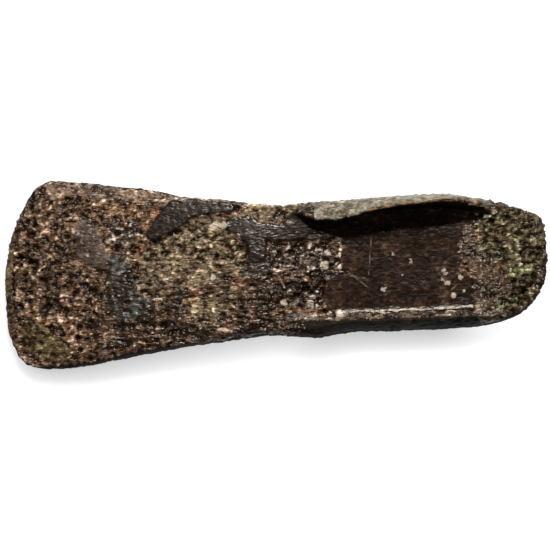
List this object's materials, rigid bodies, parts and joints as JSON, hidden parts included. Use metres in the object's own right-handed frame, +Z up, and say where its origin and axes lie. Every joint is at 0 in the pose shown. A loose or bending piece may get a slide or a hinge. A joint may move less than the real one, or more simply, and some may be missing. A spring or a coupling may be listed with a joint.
{
  "type": "bronze age winged axe head",
  "caption": "Worn, corroded bronze axe head: flared blade, and a flat haft bed on each face between two side wings, one curled over and one worn low.",
  "frame": {"origin": "centre of the bounding box of the lying head, on the surface it lies on", "axes": "+X along the head from the cutting edge to the butt, +Y across towards the side whose front wing still curls over, +Z up from the surface it lies on; the front face with the uneven wings is up"},
  "size_m": [0.1548, 0.0552, 0.0228],
  "materials": {
    "corroded_bronze": "old cast bronze, dark brown to near black, pitted, with flaked beige and brown corrosion and green patina; semi-gloss"
  },
  "bodies": {
    "root": {"axe_head": "corroded_bronze"}
  },
  "joints": []
}
